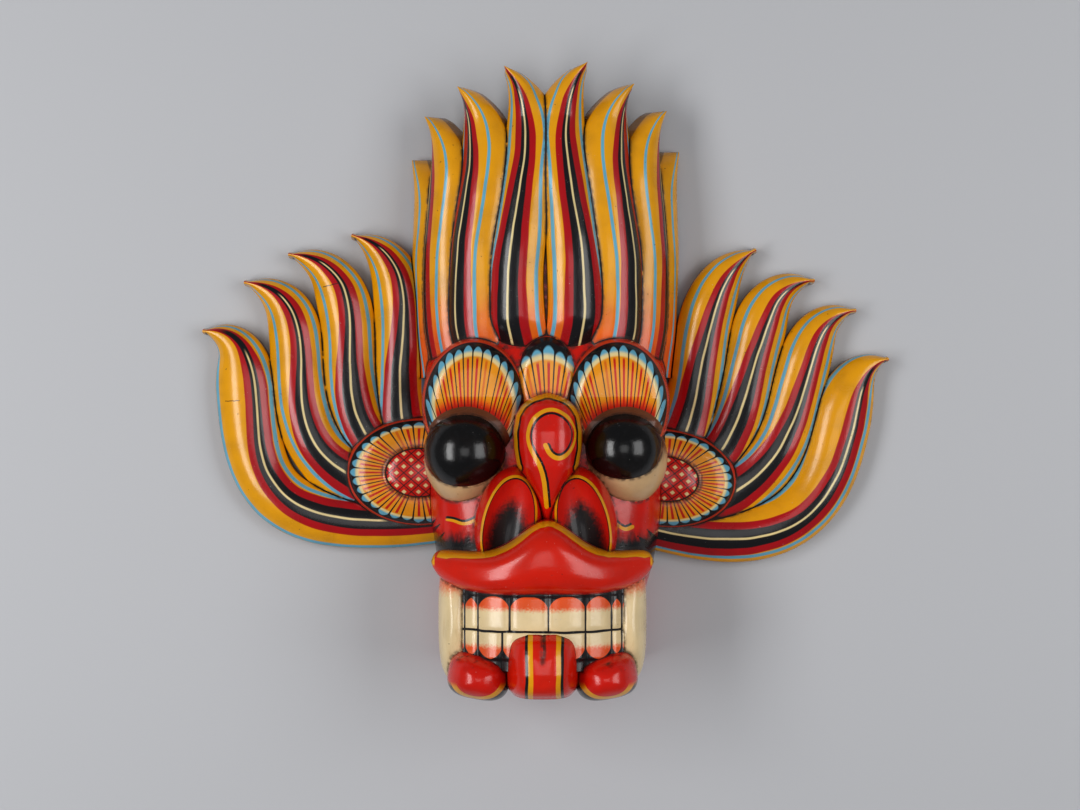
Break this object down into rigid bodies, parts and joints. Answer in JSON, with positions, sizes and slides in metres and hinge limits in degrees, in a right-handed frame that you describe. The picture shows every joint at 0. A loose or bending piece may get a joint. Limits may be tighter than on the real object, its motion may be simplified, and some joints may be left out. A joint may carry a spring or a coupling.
{
  "type": "carved wooden wall mask",
  "caption": "Carved and painted wooden demon mask with a tall crown of flames, bulging eyes, bared teeth and flame-shaped ears, hollowed at the back, lying face up.",
  "frame": {"origin": "middle of the mask's outline in X and Y, on the plane of the flat back that it lies on", "axes": "+Z out of the face, +Y up the face towards the crown, +X towards the viewer's right"},
  "size_m": [0.3802, 0.337, 0.099],
  "materials": {
    "painted_head": "gloss enamel brushed by hand on light wood: red face, yellow, black and blue flames, cream teeth",
    "painted_ears": "gloss enamel brushed by hand on light wood: yellow flames with red, black, cream and blue stripes"
  },
  "bodies": {
    "root": {"head": "painted_head", "left_ear_flames": "painted_ears", "right_ear_flames": "painted_ears"}
  },
  "joints": []
}
